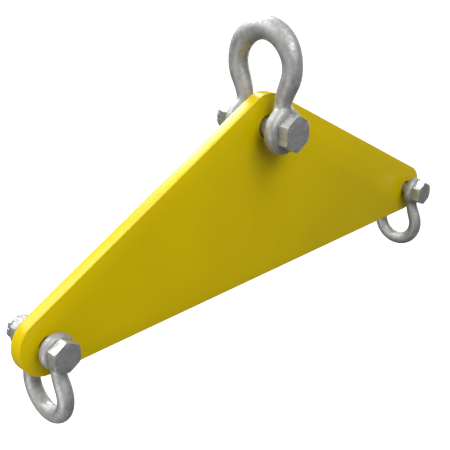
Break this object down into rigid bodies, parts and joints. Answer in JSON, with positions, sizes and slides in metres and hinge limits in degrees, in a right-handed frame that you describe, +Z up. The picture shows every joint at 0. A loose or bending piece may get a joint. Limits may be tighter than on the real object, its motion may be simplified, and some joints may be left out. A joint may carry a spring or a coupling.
{
  "type": "spreader beam",
  "caption": "Triangular lifting spreader plate hung from a large bow shackle, with a smaller bow shackle hanging from each lower corner to spread a two-leg load.",
  "frame": {"origin": "bearing point inside the top shackle's crown, where the crane hook carries the assembly", "axes": "+X along the line between the two lower holes, +Y from the bolt heads to the nuts along every pin, +Z up"},
  "size_m": [1.104, 0.1893, 0.5923],
  "materials": {
    "plate_paint": "semi-gloss safety yellow paint",
    "bow_galvanised": "hot-dip galvanised forging, faint spangle",
    "bolt_galvanised": "galvanised, satin",
    "nut_galvanised": "galvanised, satin",
    "split_pin_steel": "bright zinc plated wire"
  },
  "bodies": {
    "top_shackle": {"top_bow": "bow_galvanised"},
    "top_bolt_set": {"top_bolt": "bolt_galvanised", "top_nut": "nut_galvanised", "top_split_pin": "split_pin_steel"},
    "plate": {"spreader_plate": "plate_paint"},
    "left_shackle": {"left_bow": "bow_galvanised"},
    "left_bolt_set": {"left_bolt": "bolt_galvanised", "left_nut": "nut_galvanised", "left_split_pin": "split_pin_steel"},
    "right_shackle": {"right_bow": "bow_galvanised"},
    "right_bolt_set": {"right_bolt": "bolt_galvanised", "right_nut": "nut_galvanised", "right_split_pin": "split_pin_steel"}
  },
  "joints": [
    {"name": "top_bolt_turn", "type": "hinge", "parent": "top_shackle", "child": "top_bolt_set", "pos_m": [0, 0, -0.1565], "axis": [0, 1, 0], "continuous": true},
    {"name": "plate_swing", "type": "hinge", "parent": "top_shackle", "child": "plate", "pos_m": [0, 0, -0.1565], "axis": [0, 1, 0], "range_deg": [-88, 88]},
    {"name": "left_shackle_swing", "type": "hinge", "parent": "plate", "child": "left_shackle", "pos_m": [-0.5, 0, -0.4065], "axis": [0, 1, 0], "range_deg": [-58, 210]},
    {"name": "left_bolt_turn", "type": "hinge", "parent": "left_shackle", "child": "left_bolt_set", "pos_m": [-0.5, 0, -0.4065], "axis": [0, 1, 0], "continuous": true},
    {"name": "right_shackle_swing", "type": "hinge", "parent": "plate", "child": "right_shackle", "pos_m": [0.5, 0, -0.4065], "axis": [0, 1, 0], "range_deg": [-210, 58]},
    {"name": "right_bolt_turn", "type": "hinge", "parent": "right_shackle", "child": "right_bolt_set", "pos_m": [0.5, 0, -0.4065], "axis": [0, 1, 0], "continuous": true}
  ]
}
